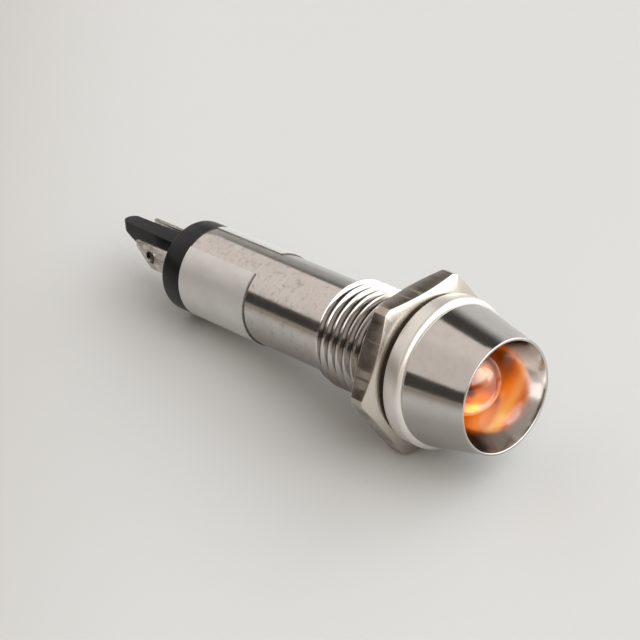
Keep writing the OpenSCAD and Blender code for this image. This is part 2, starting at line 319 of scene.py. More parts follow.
# where use has marked it and where shade is painted, in millimetres: along the lamp, out from its axis, or up
plateMarks = {
    "handled": (-11, -5), "rootFloor": (3.5, 3.56), "rootFlank": (3.59, 3.68), "rootDarkAmount": 0.85,
    "top": (1.5, 3.4), "topShadeLift": 0.1, "under": (-1.2, 0.6), "undersideShadeAmount": 0.28,
}


def nickelPlate(name, look):
    m = plateMarks
    material, tree, surface = newMaterial(name, look)
    place = objectPlace(tree)
    clouds = speckle(tree, place, look["cloud"], 5.0, 0.6)
    grit = speckle(tree, place, look["grit"], 2.0)
    tone = mixColour(tree, clouds, look["light"], look["dark"])
    scuffs = spread(tree, speckle(tree, place, look["scuffSize"], 8.0, 0.8), 0.0, 0.75, 0.52, 0.7)
    # the rear of the tube has been handled most
    handled = spread(tree, axisOf(tree, place, "X"), 1.0, 0.2, *metres(m["handled"]))
    scuffs = sums(tree, "MULTIPLY", scuffs, handled)
    tone = mixColour(tree, scuffs, tone, look["scuff"])
    if "rootDarkTone" in look:
        # the thread's roots are darker, and on top a painted shade reaches higher up their flanks
        outward = addNode(tree, "ShaderNodeVectorMath", {"operation": "LENGTH"},
                          {0: objectPlace(tree, (0, 1, 1))}).outputs["Value"]
        upward = axisOf(tree, place, "Z")
        shadeLift = spread(tree, upward, 0.0, m["topShadeLift"] * mm, *metres(m["top"]))
        floors = spread(tree, outward, 0.0, m["rootDarkAmount"], *metres(m["rootFloor"]))
        flanks = spread(tree, sums(tree, "SUBTRACT", outward, shadeLift), 1.0, 0.0, *metres(m["rootFlank"]))
        tone = mixColour(tree, sums(tree, "MULTIPLY", floors, flanks), tone, look["rootDarkTone"])
        # painted shade: the underside is darker
        undersideShade = spread(tree, upward, m["undersideShadeAmount"], 0.0, *metres(m["under"]), True)
        tone = mixColour(tree, undersideShade, tone, look["undersideShadeTone"])
    tree.links.new(tone, surface.inputs["Base Color"])
    haze = sums(tree, "ADD", sums(tree, "MULTIPLY", clouds, 0.7), sums(tree, "MULTIPLY", grit, 0.3))
    tree.links.new(unevenGloss(tree, haze, look), surface.inputs["Roughness"])
    rings = speckle(tree, objectPlace(tree, (1, 0.03, 0.03)), look["toolMark"], 2.0)
    relief(tree, surface, sums(tree, "ADD", rings, sums(tree, "MULTIPLY", grit, 0.5)), 0.0012)
    return material


# the flange is blasted before plating, so it is paler and spreads the light
satinLook = {
    "light": "#E6E4DF", "dark": "#D6D3CD", "scuff": "#A59E97", "gloss": (0.28, 0.38), "metal": 0.75,
    "toolMark": 0.12, "cloud": 0.9, "grit": 0.12, "scuffSize": 0.5,
}
# the inside of the bezel is polished, so that it throws the lens's light forward
mirrorLook = {
    "light": "#D6D1CD", "dark": "#C4BEBA", "scuff": "#8B837D", "gloss": (0.1, 0.19), "metal": 1.0,
    "toolMark": 0.15, "cloud": 1.2, "grit": 0.2, "scuffSize": 0.5,
}

# the turned line lies between the flange and the cone: its root's and its front edge's
# distances from the flange
body = {
    "lipX": shellHigh.x, "lipR": 4.15, "lipWidth": 0.2, "lipRound": 0.07,
    "coneR": 5.1, "flangeR": 5.45, "flangeT": 1.45, "seatRound": 0.1,
    "lineDepth": 0.08, "lineRoot": 0.06, "lineFront": 0.14,
    "reflectorX": 1.2, "lensHoleR": 2.55, "boreR": 2.975, "boreFront": -2.75, "boreChamfer": 0.05,
    "undercutR": 3.595, "undercutX": -0.7, "undercutSlope": 0.1,
    "threadR": 4.0, "threadEnd": -8.6, "leadIn": 0.3, "tubeR": 3.45, "rearX": shellLow.x, "edge": 0.08,
}
# the groove's half widths go up in even steps from its root to its mouth
thread = {"pitch": 0.75, "rootR": 3.6, "outerR": 4.08, "frontX": -0.42, "turns": 12, "steps": 96,
          "halves": (0.085, 0.12, 0.155, 0.19, 0.225, 0.26, 0.298, 0.35, 0.374)}


def grooveCutter(name, t):
    # an outline of the groove, swept round the axis as a helix; the outline starts 1 mm wide on
    # each side, so that each row's resize is its half width
    deselectAll()
    rows = len(t["halves"])
    depth = t["outerR"] - t["rootR"]
    rise = depth / (rows - 1)
    middle = (t["rootR"] + t["outerR"]) / 2
    bpy.ops.mesh.primitive_plane_add(size=1, location=(t["frontX"] * mm, 0, middle * mm),
                                     rotation=(math.pi / 2, 0, 0))
    bpy.context.object.scale = (2 * mm, depth * mm, 1)
    tool = startPiece(name)
    startEdit(tool)
    bpy.ops.mesh.delete(type="ONLY_FACE")
    bpy.ops.mesh.select_mode(type="EDGE")
    endEdit()
    # its two sides are divided into rows
    for edge in tool.data.edges:
        low, high = (tool.data.vertices[i].co.z for i in edge.vertices)
        edge.select = abs(high - low) > 0.1 * mm
    bpy.ops.object.mode_set(mode="EDIT")
    bpy.ops.mesh.subdivide(number_cuts=rows - 2)
    for i, half in enumerate(t["halves"]):
        height = t["rootR"] + i * rise
        selectVerts(tool, lambda co: abs(co.z - height) < rise / 3)
        bpy.ops.transform.resize(value=(half, 1, 1), center_override=(t["frontX"] * mm, 0, 0))
    endEdit()
    addModifier(tool, "SCREW", axis="X", angle=2 * math.pi, screw_offset=-t["pitch"] * mm,
                iterations=t["turns"], steps=t["steps"], render_steps=t["steps"],
                use_merge_vertices=False)
    applyModifiers(tool)
    startEdit(tool)
    bpy.ops.mesh.remove_doubles(threshold=0.0001 * mm)
    # the helix's two ends are closed
    bpy.ops.mesh.select_all(action="DESELECT")
    bpy.ops.mesh.select_mode(type="EDGE")
    bpy.ops.mesh.select_non_manifold()
    bpy.ops.mesh.fill_holes(sides=2 * rows)
    bpy.ops.mesh.select_all(action="SELECT")
    bpy.ops.mesh.normals_make_consistent(inside=False)
    endEdit()
    return tool


def bodyStations(b):
    # from the rear edge of the bore, over the outside to the lip, and back through the reflector
    flangeRound = b["flangeR"] - b["coneR"] + b["lineDepth"]
    seatRound = b["seatRound"]
    lipRound = b["lipRound"]
    lipStart = b["lipX"] - lipRound
    lipInner = b["lipR"] - b["lipWidth"]
    mouth = b["boreR"] + b["boreChamfer"]
    coneStart = (b["flangeT"] + b["lineFront"], b["coneR"])
    stations = [(b["rearX"], mouth), (b["rearX"], b["tubeR"] - b["edge"])]
    stations += arc(b["rearX"] + b["edge"], b["tubeR"] - b["edge"], b["edge"], 180, 90, 4)[1:]
    stations += line((b["rearX"] + b["edge"], b["tubeR"]), (b["threadEnd"], b["tubeR"]), 8)
    stations += [(b["threadEnd"], b["threadR"] - b["leadIn"]), (b["threadEnd"] + b["leadIn"], b["threadR"]),
                 (b["undercutX"] - b["undercutSlope"], b["threadR"]), (b["undercutX"], b["undercutR"]),
                 (0, b["undercutR"]), (0, b["flangeR"] - 1.2 * seatRound)]
    stations += arc(seatRound, b["flangeR"] - seatRound, seatRound, 180, 90, 4)
    stations += arc(b["flangeT"] - flangeRound, b["flangeR"] - flangeRound, flangeRound, 90, 0, 12)
    stations += [(b["flangeT"] + b["lineRoot"], b["coneR"] - b["lineDepth"]), coneStart]
    stations += line(coneStart, (lipStart, b["lipR"]), 8)
    stations += arc(lipStart, b["lipR"] - lipRound, lipRound, 78, 0, 5)
    stations += arc(lipStart, lipInner + lipRound, lipRound, 0, -70, 5)
    stations += line((lipStart, lipInner), (b["reflectorX"], b["lensHoleR"]), 8)
    stations += [(b["boreFront"], b["lensHoleR"]), (b["boreFront"], b["boreR"]),
                 (b["rearX"] + b["boreChamfer"], b["boreR"]), (b["rearX"], mouth)]
    return stations


def onFlange(co, normal):
    # from the seat to the turned line, and outside the undercut
    return (-0.01 < co.x < body["flangeT"] + body["lineRoot"] / 2
            and math.hypot(co.y, co.z) > body["undercutR"] + 0.1)


def inReflector(co, normal):
    return co.x > body["reflectorX"] and normal.y * co.y + normal.z * co.z < 0


def makeBody():
    piece = turnPiece("lampBody", bodyStations(body))
    combine(piece, grooveCutter("groove", thread), "DIFFERENCE")
    smoothByAngle(piece, 25)
    wear(piece, nickelPlate("nickelPlate", plateLook), nickelPlate("satinFlange", satinLook),
         nickelPlate("polishedReflector", mirrorLook))
    for index, test in ((1, onFlange), (2, inReflector)):
        selectFaces(piece, test)
        piece.active_material_index = index
        bpy.ops.object.material_slot_assign()
    endEdit()
    finishPiece(piece, "lamp", "nickel_plate", "shell")


makeBody()

# the nut is milled from drawn hexagon bar: its flats keep the bar's lines along the axis
nutLook = {
    "light": "#B5ADA3", "dark": "#A0968B", "stain": "#756B60", "turned": "#D6D0C6",
    "streak": "#D8D2CA", "gloss": (0.2, 0.3), "metal": 1.0,
    "drawLine": 0.9, "fineLine": 0.09, "cloud": 1.1, "stainSize": 0.7,
}


def nutPlate():
    look = nutLook
    material, tree, surface = newMaterial("drawnNutPlate", look)
    place = objectPlace(tree)
    clouds = speckle(tree, place, look["cloud"], 5.0, 0.6)
    stains = spread(tree, speckle(tree, place, look["stainSize"], 6.0, 0.7), 0.0, 0.5, 0.6, 0.8)
    tone = mixColour(tree, clouds, look["light"], look["dark"])
    lengthwise = objectPlace(tree, (0.08, 1, 1))
    lines = speckle(tree, lengthwise, look["drawLine"], 2.0, 0.5)
    # only the flats carry the bar's lines: the turned faces point along the axis
    normal = addNode(tree, "ShaderNodeTexCoord").outputs["Normal"]
    endwise = sums(tree, "ABSOLUTE", axisOf(tree, normal, "X"), None)
    onFlat = spread(tree, endwise, 1.0, 0.0, 0.05, 0.2)
    turned = sums(tree, "MULTIPLY", sums(tree, "SUBTRACT", 1.0, onFlat), 0.6)
    streaks = sums(tree, "MULTIPLY", onFlat, spread(tree, lines, 0.0, 0.6, 0.56, 0.68, True))
    gaps = sums(tree, "MULTIPLY", onFlat, spread(tree, lines, 0.7, 0.0, 0.36, 0.5, True))
    tone = mixColour(tree, stains, tone, look["stain"])
    tone = mixColour(tree, turned, tone, look["turned"])
    tone = mixColour(tree, gaps, tone, look["stain"])
    tree.links.new(mixColour(tree, streaks, tone, look["streak"]), surface.inputs["Base Color"])
    rough = sums(tree, "ADD", unevenGloss(tree, clouds, look), sums(tree, "MULTIPLY", streaks, 0.2))
    tree.links.new(rough, surface.inputs["Roughness"])
    fine = speckle(tree, lengthwise, look["fineLine"], 2.0)
    relief(tree, surface, sums(tree, "ADD", lines, sums(tree, "MULTIPLY", fine, 0.15)), 0.004)
    return material


nut = {"flats": 11.5, "front": nutHigh.x, "rear": nutLow.x, "boreR": 4.04, "sink": 0.25,
       "faceR": 5.25, "cornerR": 6.5, "faceAngle": 20, "turn": 4.5, "edge": 0.06}
nutThread = {"pitch": 0.75, "rootR": 3.9, "outerR": 4.36, "frontX": 0.2, "turns": 5, "steps": 96,
             "halves": (0.34, 0.2, 0.07)}


def makeNut():
    # a hexagon bar, trimmed by its turned outline and bored with a countersink at each end
    n = nut
    middle = (n["front"] + n["rear"]) / 2
    deselectAll()
    bpy.ops.mesh.primitive_cylinder_add(vertices=6, radius=n["flats"] / 2 / math.cos(math.pi / 6) * mm,
                                        depth=(n["front"] - n["rear"]) * mm, location=(middle * mm, 0, 0),
                                        rotation=(0, math.pi / 2, 0))
    piece = startPiece("hexNut")
    # one flat faces down, but for the nut's small turn
    cornerUp = max(v.co.z for v in piece.data.vertices) > n["flats"] / 2 * mm * 1.01
    toFlat = math.pi / 6 if cornerUp else 0
    piece.rotation_euler = (toFlat + math.radians(n["turn"]), 0, 0)
    makeActive(piece)
    bpy.ops.object.transform_apply(location=True, rotation=True, scale=True)
    drop = (n["cornerR"] - n["faceR"]) * math.tan(math.radians(n["faceAngle"]))
    blank = turnPiece("blank", [(n["rear"], 0), (n["rear"], n["faceR"]), (n["rear"] + drop, n["cornerR"]),
                                (n["front"] - drop, n["cornerR"]), (n["front"], n["faceR"]), (n["front"], 0)])
    combine(piece, blank, "INTERSECT")
    roundEdges(piece, n["edge"], 12, 3)
    s = n["sink"]
    hole = turnPiece("hole", [(n["rear"] - s, 0), (n["rear"] - s, n["boreR"] + 2 * s),
                              (n["rear"] + s, n["boreR"]), (n["front"] - s, n["boreR"]),
                              (n["front"] + s, n["boreR"] + 2 * s), (n["front"] + s, 0)])
    combine(piece, hole, "DIFFERENCE")
    combine(piece, grooveCutter("nutGroove", nutThread), "DIFFERENCE")
    smoothByAngle(piece, 25)
    wear(piece, nutPlate())
    finishPiece(piece, "nut", "nut_plate", "mounting_nut")


makeNut()

# aluminised film: a dull silver with a soft sheen, crinkled where it was pressed on by hand
filmLook = {
    "light": "#D9DAD8", "dark": "#CACAC8", "rub": "#A8A29C", "edgeShade": "#6A635B", "gloss": (0.4, 0.52),
    "metal": 0.55, "cloud": 1.8, "crinkle": 0.7, "grit": 0.11, "rubSize": 0.5, "edgeShadeWidth": 0.05,
    "edgeShadeRagged": 0.06,
}


def silverFilm(frontX):
    look = filmLook
    material, tree, surface = newMaterial("silverFilm", look)
    place = objectPlace(tree)
    clouds = speckle(tree, place, look["cloud"], 5.0, 0.6)
    grit = speckle(tree, place, look["grit"], 3.0, 0.6)
    tone = mixColour(tree, clouds, look["light"], look["dark"])
    rubs = spread(tree, speckle(tree, place, look["rubSize"], 7.0, 0.8), 0.0, 0.7, 0.6, 0.74)
    worn = mixColour(tree, rubs, tone, look["rub"])
    # painted shade: a ragged dark line along the front edge, where the film's step casts its shadow
    shift = look["edgeShadeRagged"] * mm
    ragged = sums(tree, "ADD", axisOf(tree, place, "X"), spread(tree, grit, -shift, shift, 0.35, 0.65))
    edgeShade = spread(tree, ragged, 0.0, 0.9, (frontX - 2 * look["edgeShadeWidth"]) * mm,
                  (frontX - 0.5 * look["edgeShadeWidth"]) * mm)
    tree.links.new(mixColour(tree, edgeShade, worn, look["edgeShade"]), surface.inputs["Base Color"])
    tree.links.new(unevenGloss(tree, clouds, look), surface.inputs["Roughness"])
    waves = speckle(tree, place, look["crinkle"], 3.0)
    relief(tree, surface, sums(tree, "ADD", waves, sums(tree, "MULTIPLY", grit, 0.12)), 0.02)
    return material


# the label's far edge and how far it goes round, in degrees from the bottom of the tube
label = {"innerR": 3.46, "thick": 0.08, "rear": labelLow.x, "front": labelHigh.x,
         "fromEdge": 169.5, "around": 314.5, "steps": 157, "crinkle": 0.035, "crinkleSize": 1.1}


def makeLabel():
    # a strip is drawn round the tube from its far edge, under it and up to its near edge
    g = label
    step = math.radians(g["around"] / g["steps"])
    start = math.radians(g["fromEdge"])
    deselectAll()
    bpy.ops.mesh.primitive_grid_add(x_subdivisions=14, y_subdivisions=1, size=1)
    strip = bpy.context.object
    strip.scale = ((g["front"] - g["rear"]) * mm, g["innerR"] * 2 * math.tan(step / 2) * mm, 1)
    strip.location = ((g["front"] + g["rear"]) / 2 * mm, 0, -g["innerR"] * mm)
    piece = startPiece("labelFilm")
    piece.rotation_euler = (start - step / 2, 0, 0)
    makeActive(piece)
    bpy.ops.object.transform_apply(location=True, rotation=True, scale=True)
    leading = Vector((0, math.sin(start - step), -math.cos(start - step)))
    trailing = Vector((0, math.sin(start), -math.cos(start)))
    selectVerts(piece, lambda co: co.dot(leading) > co.dot(trailing))
    for _ in range(g["steps"] - 1):
        bpy.ops.mesh.extrude_edges_move(TRANSFORM_OT_translate={"value": (0, 0, 0)})
        bpy.ops.transform.rotate(value=step, orient_axis="X", center_override=(0, 0, 0))
    endEdit()
    tidyMesh(piece)
    addModifier(piece, "SOLIDIFY", thickness=g["thick"] * mm, offset=1, use_even_offset=True)
    applyModifiers(piece)
    return piece


def finishLabel():
    g = label
    piece = makeLabel()
    # it is crinkled, but less so towards its two ends
    texture = bpy.data.textures.new("crinkle", "CLOUDS")
    texture.noise_scale = g["crinkleSize"] * mm
    texture.noise_depth = 1
    group = piece.vertex_groups.new(name="crinkled")
    middle = (g["front"] + g["rear"]) / 2
    half = (g["front"] - g["rear"]) / 2
    for vert in piece.data.vertices:
        fromEnd = 1 - abs(vert.co.x / mm - middle) / half
        group.add([vert.index], min(1, 0.25 + fromEnd * 4), "REPLACE")
    addModifier(piece, "DISPLACE", texture=texture, texture_coords="LOCAL", direction="NORMAL",
                mid_level=0.75, strength=g["crinkle"] * mm, vertex_group="crinkled")
    applyModifiers(piece)
    smoothByAngle(piece, 40)
    wear(piece, silverFilm(g["front"]))
    finishPiece(piece, "lamp", "label_foil", "label_wrap")


finishLabel()

# glass-filled black nylon, moulded: a soft satin with a fine grain
nylonLook = {
    "light": "#151514", "dark": "#0D0D0D", "blob": 0.9, "gloss": (0.3, 0.44), "grain": 0.1,
    "depth": 0.004, "extra": {"Specular IOR Level": 0.3},
}
plug = {
    "spigotFront": plugHigh.x, "spigotR": 2.945, "spigotChamfer": 0.1,
    "ringFront": shellLow.x, "ringR": 3.51,
    "ringRear": shellLow.x - 2.05, "ringRound": 0.3, "frontRound": 0.1,
    "finRear": plugLow.x, "finTop": 1.6, "finRootT": 1.7, "finTipT": 1.3, "finEdge": 0.26,
    # the fin's slant starts a little in front of its tip and below its top
    "slantIn": 0.6, "slantDrop": 0.9, "finSlant": 4.6, "rootInset": 0.2, "rootOut": 0.05,
}
lug = {
    "thick": 0.3, "inY": 1.55, "top": 1.25, "low": -0.7, "slant": 1.6, "slantRise": 1.45,
    "eyeD": 1.0, "eyeIn": 1.7, "rimR": 0.06, "rimOut": 0.05, "rimSink": 0.01,
    "tailW": 1.4, "tailL": 1.8, "edge": 0.05, "nearL": 4.95, "farL": 6.9,
}


def makeFin():
    # a blade that thins towards its rounded tip, with a slanted lower edge
    p = plug
    half = p["finRootT"] / 2
    tip = p["finTipT"] / 2
    tipX = p["finRear"] + tip
    fin = addBlock("fin", (tipX, -half, -p["finTop"]), (p["ringRear"], half, p["finTop"]))
    # a hair thinner than the round tip, so that no two faces coincide
    selectVerts(fin, lambda co: co.x < tipX + 0.1)
    bpy.ops.transform.resize(value=(1, 0.99 * tip / half, 1), center_override=(0, 0, 0))
    endEdit()
    deselectAll()
    bpy.ops.mesh.primitive_cylinder_add(vertices=48, radius=tip * mm, depth=2 * p["finTop"] * mm,
                                        location=(tipX * mm, 0, 0))
    combine(fin, startPiece("finTip"), "UNION")
    slope = math.atan2(2 * p["finTop"] - p["slantDrop"], p["finSlant"])
    cutWith(fin, (p["finRear"] + p["slantIn"] + p["finSlant"], 0, -p["finTop"]),
            (-math.sin(slope), 0, -math.cos(slope)))
    roundEdges(fin, p["finEdge"], 40, 5)
    # a root inside the ring carries it
    wide = half - p["rootInset"]
    high = p["finTop"] - p["rootInset"]
    root = addBlock("finRoot", (p["ringRear"] - p["rootOut"], -wide, -high), (p["ringFront"], wide, high))
    combine(fin, root, "UNION")
    return fin


def lugSides(side):
    # the lug's two faces, in order; side is -1 for the near lug and 1 for the far one
    return sorted((side * lug["inY"], side * (lug["inY"] + lug["thick"])))


def makePlug():
    p = plug
    chamfer = p["spigotChamfer"]
    stations = [(p["spigotFront"], 0), (p["spigotFront"], p["spigotR"] - chamfer),
                (p["spigotFront"] - chamfer, p["spigotR"]), (p["ringFront"], p["spigotR"])]
    stations += arc(p["ringFront"] - p["frontRound"], p["ringR"] - p["frontRound"], p["frontRound"],
                    0, 90, 4)
    stations += arc(p["ringRear"] + p["ringRound"], p["ringR"] - p["ringRound"], p["ringRound"],
                    90, 180, 8)
    stations += [(p["ringRear"], 0)]
    piece = turnPiece("rearPlug", stations)
    combine(piece, makeFin(), "UNION")
    for side in (-1, 1):
        inner, outer = lugSides(side)
        slot = addBlock("slot", (p["ringRear"] - 1, inner, lug["low"]),
                        (p["spigotFront"] + 1, outer, lug["top"]))
        combine(piece, slot, "DIFFERENCE")
    smoothByAngle(piece, 35)
    wear(piece, mottledFinish("blackNylon", nylonLook))
    finishPiece(piece, "lamp", "plug_plastic", "rear_plug")


makePlug()

# brass strip, stamped and dipped in tin: silvery with a straw tint, streaked where the tin ran
tinLook = {
    "light": "#D6D1C9", "dark": "#8A8178", "flux": "#5A4B3A", "gloss": (0.16, 0.36), "metal": 1.0,
    "run": 0.45, "pool": 0.22, "fluxSize": 0.5,
}


def tinPlate():
    look = tinLook
    material, tree, surface = newMaterial("dippedTin", look)
    place = objectPlace(tree)
    runs = speckle(tree, objectPlace(tree, (0.5, 1, 1)), look["run"], 5.0, 0.65)
    tone = mixColour(tree, spread(tree, runs, 0.0, 1.0, 0.35, 0.65), look["light"], look["dark"])
    flux = spread(tree, speckle(tree, place, look["fluxSize"], 6.0, 0.7), 0.0, 0.8, 0.6, 0.72)
    tree.links.new(mixColour(tree, flux, tone, look["flux"]), surface.inputs["Base Color"])
    tree.links.new(unevenGloss(tree, runs, look), surface.inputs["Roughness"])
    relief(tree, surface, speckle(tree, place, look["pool"], 3.0), 0.02)
    return material


def makeLug(name, side, length, material):
    g = lug
    end = plug["ringRear"] - length
    inner, outer = lugSides(side)
    piece = addBlock(name, (end, inner, g["low"]), (plug["spigotFront"], outer, g["top"]))
    middle = (g["top"] + g["low"]) / 2
    eyeX = end + g["eyeIn"]
    # the tail that the wire is soldered to
    selectFaces(piece, lambda co, normal: normal.x > 0.9)
    bpy.ops.mesh.extrude_region_move(TRANSFORM_OT_translate={"value": (0, 0, 0)})
    bpy.ops.transform.resize(value=(1, 1, g["tailW"] / (g["top"] - g["low"])),
                             center_override=(0, 0, middle * mm))
    bpy.ops.transform.translate(value=(0, 0, -middle * mm))
    bpy.ops.mesh.extrude_region_move(TRANSFORM_OT_translate={"value": (g["tailL"] * mm, 0, 0)})
    endEdit()
    slope = math.atan2(g["slantRise"], g["slant"])
    cutWith(piece, (end + g["slant"], 0, g["low"]), (-math.sin(slope), 0, -math.cos(slope)))
    roundEdges(piece, g["edge"], 40, 3)
    deselectAll()
    bpy.ops.mesh.primitive_cylinder_add(vertices=64, radius=g["eyeD"] / 2 * mm, depth=2 * mm,
                                        location=metres((eyeX, side * g["inY"], middle)),
                                        rotation=(math.pi / 2, 0, 0))
    combine(piece, startPiece("eye"), "DIFFERENCE")
    # the punch leaves a rolled edge round the wire eye
    deselectAll()
    rimY = side * (g["inY"] + g["thick"] - g["rimSink"])
    bpy.ops.mesh.primitive_torus_add(major_segments=64, minor_segments=12,
                                     major_radius=(g["eyeD"] / 2 + g["rimOut"]) * mm,
                                     minor_radius=g["rimR"] * mm, rotation=(math.pi / 2, 0, 0),
                                     location=metres((eyeX, rimY, middle)))
    combine(piece, startPiece("eyeRim"), "UNION")
    smoothByAngle(piece, 35)
    wear(piece, material)
    finishPiece(piece, "lamp", "tinned_lug", "lug_near" if side < 0 else "lug_far")


dippedTin = tinPlate()
makeLug("nearLug", -1, lug["nearL"], dippedTin)
makeLug("farLug", 1, lug["farL"], dippedTin)

# cast epoxy, dyed orange and slightly milky, glossy outside; its glow is painted light, an emission standing
# in for the light it gathers, with painted highlights and painted shade
lens = {"tipX": 4.85, "r": 2.45, "flangeR": 2.9, "flangeT": 1.0, "rearX": lensLow.x, "flat": 2.6,
        "chamfer": 0.1}
resinLook = {
    "body": "#7A2E08", "deep": "#3A1004", "amber": "#D8660F", "ember": "#5A1A05",
    "gloss": (0.06, 0.11), "milk": 1.2, "lit": (-1.6, 1.7),
    "extra": {"Emission Strength": 1.25, "IOR": 1.54, "Subsurface Weight": 0.35,
              "Subsurface Radius": (1.2, 0.45, 0.12), "Subsurface Scale": 0.8 * mm,
              "Coat Weight": 1.0, "Coat Roughness": 0.12, "Coat IOR": 1.54},
    # painted light and painted shade, given as emission: place, reach, colour, how much
    "paintedGlows": [
        # the far side, which the reflector shows
        ((3.1, 2.15, 0.45), 1.65, "#1C0400", 1.0), ((3.5, 1.85, -1.25), 0.75, "#FF8410", 1.0),
        ((4.05, 1.5, -1.25), 0.75, "#FF9A2A", 1.0), ((3.9, 1.25, -1.6), 0.75, "#FFC050", 1.0),
        ((2.9, 0.9, -2.2), 1.0, "#FF9236", 0.9), ((3.1, 1.75, -1.65), 0.35, "#8A3410", 0.8),
        # the face of the dome, with its painted highlight
        ((4.75, 0.6, 0.0), 0.9, "#7A3012", 0.85), ((4.45, -0.15, 1.3), 1.15, "#D8A078", 1.0),
        ((4.6, -0.85, -0.45), 0.95, "#E87410", 1.0), ((4.3, -1.2, -1.1), 0.85, "#F2C400", 1.0),
        ((4.35, -1.5, 0.35), 0.6, "#180500", 1.0),
    ],
}


def hotSpot(tree, place, centre, reach):
    # 1 round a place given in millimetres, falling softly to 0 this far away
    apart = addNode(tree, "ShaderNodeVectorMath", {"operation": "DISTANCE"}, {0: place})
    apart.inputs[1].default_value = metres(centre)
    return spread(tree, apart.outputs["Value"], 1.0, 0.0, 0.15 * reach * mm, reach * mm, True)


def orangeResin():
    look = resinLook
    material, tree, surface = newMaterial("orangeResin", look)
    place = objectPlace(tree)
    milky = speckle(tree, place, look["milk"], 3.0)
    # painted light and shade: the dome is darker on top and glows brighter low down, where the light that
    # falls in from above gathers
    sink = spread(tree, axisOf(tree, place, "Z"), 1.0, 0.0, *metres(look["lit"]), True)
    tree.links.new(mixColour(tree, sink, look["deep"], look["body"]), surface.inputs["Base Color"])
    glow = mixColour(tree, sink, look["ember"], look["amber"])
    for centre, reach, colour, amount in look["paintedGlows"]:
        here = sums(tree, "MULTIPLY", hotSpot(tree, place, centre, reach), amount)
        glow = mixColour(tree, here, glow, colour)
    tree.links.new(glow, surface.inputs["Emission Color"])
    tree.links.new(spread(tree, milky, *look["gloss"]), surface.inputs["Roughness"])
    return material


def makeLens():
    g = lens
    domeX = g["tipX"] - g["r"]
    step = g["rearX"] + g["flangeT"]
    stations = [(g["rearX"], 0), (g["rearX"], g["flangeR"] - g["chamfer"]),
                (g["rearX"] + g["chamfer"], g["flangeR"]), (step, g["flangeR"]), (step, g["r"])]
    stations += line((step, g["r"]), (domeX, g["r"]), 6)
    stations += arc(domeX, 0, g["r"], 90, 0, 32)[1:]
    piece = turnPiece("lensDome", stations, 128)
    cutWith(piece, (0, -g["flat"], 0), (0, -1, 0))
    smoothByAngle(piece, 30)
    wear(piece, orangeResin())
    finishPiece(piece, "lamp", "orange_resin", "led_lens")


makeLens()

# what is sealed inside keeps its own shape and gets its real finish
innerLooks = {
    "silveredSteel": {"light": "#D9D8D4", "dark": "#B4B2AD", "metal": 1.0, "blob": 0.5,
                      "gloss": (0.22, 0.36), "grain": 0.06, "depth": 0.003},
    "sawnChip": {"light": "#A8935A", "dark": "#6F5C2E", "blob": 0.08,
                 "gloss": (0.35, 0.5), "grain": 0.02, "depth": 0.002},
    "drawnGold": {"light": "#E2B75C", "dark": "#C4933A", "metal": 1.0, "blob": 0.2,
                  "gloss": (0.2, 0.3), "grain": 0.02, "depth": 0.001},
    "clearResin": {"light": "#E6E0CE", "dark": "#CFC6AC", "blob": 1.0, "gloss": (0.08, 0.16),
                   "grain": 0.4, "depth": 0.01, "extra": {"Transmission Weight": 0.75, "IOR": 1.52}},
    "firedCeramic": {"light": "#EFEDE6", "dark": "#D6D1C4", "blob": 0.6, "gloss": (0.55, 0.7),
                     "grain": 0.08, "depth": 0.006},
    "pressedCap": {"light": "#CFCDC8", "dark": "#A7A49D", "metal": 1.0, "blob": 0.5,
                   "gloss": (0.28, 0.42), "grain": 0.08, "depth": 0.004},
    "dippedLacquer": {"light": "#CDAE78", "dark": "#B4925A", "blob": 0.9, "gloss": (0.22, 0.34),
                      "grain": 0.3, "depth": 0.02, "extra": {"Coat Weight": 0.5}},
    "tinnedCopper": {"light": "#D2CFC9", "dark": "#B3ABA0", "metal": 1.0, "blob": 0.4,
                     "gloss": (0.24, 0.38), "grain": 0.07, "depth": 0.004},
    "shrunkSleeve": {"light": "#232323", "dark": "#151515", "blob": 0.8, "gloss": (0.42, 0.58),
                     "grain": 0.12, "depth": 0.01},
    "whiteSleeve": {"light": "#F0EEE6", "dark": "#DDD9CC", "blob": 0.8, "gloss": (0.38, 0.52),
                    "grain": 0.12, "depth": 0.006},
    "softSolder": {"light": "#C6C6C4", "dark": "#8F8F8D", "metal": 1.0, "blob": 0.3,
                   "gloss": (0.18, 0.4), "grain": 0.1, "depth": 0.012},
}
innerPieces = {
    "silveredSteel": ("led_anode_frame", "led_cathode_frame"),
    "sawnChip": ("led_die",),
    "drawnGold": ("led_bond_wire",),
    "clearResin": ("led_potting",),
    "firedCeramic": ("resistor_core",),
    "pressedCap": ("resistor_cap_front", "resistor_cap_rear"),
    "dippedLacquer": ("resistor_coat",),
    "tinnedCopper": ("resistor_lead_front", "resistor_lead_rear"),
    "shrunkSleeve": ("anode_sleeve",),
    "whiteSleeve": ("cathode_sleeve",),
    "softSolder": ("anode_solder", "lug_far_solder", "lug_near_solder"),
}
for finish, look in innerLooks.items():
    material = mottledFinish(finish, look)
    for node in innerPieces[finish]:
        wear(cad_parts[node], material)
print("inner pieces finished:", sum(len(nodes) for nodes in innerPieces.values()))

# the lamp lies on its nut and on its plug's ring, so the table is tilted and rolled against it
ringTouch = plug["ringFront"] - 1.85
tilt = math.atan2(nut["flats"] / 2 - plug["ringR"], nut["rear"] - ringTouch)
roll = math.radians(nut["turn"])
floorUp = Vector((math.sin(tilt), -math.sin(roll) * math.cos(tilt), math.cos(roll) * math.cos(tilt)))
viewUp = Vector((math.sin(tilt), 0, math.cos(tilt)))
camera = {"place": (104.5, -99.8, 75.9), "lookAt": (-1.06, -9.54, 7.06), "lens": 134.3, "sensor": 36}


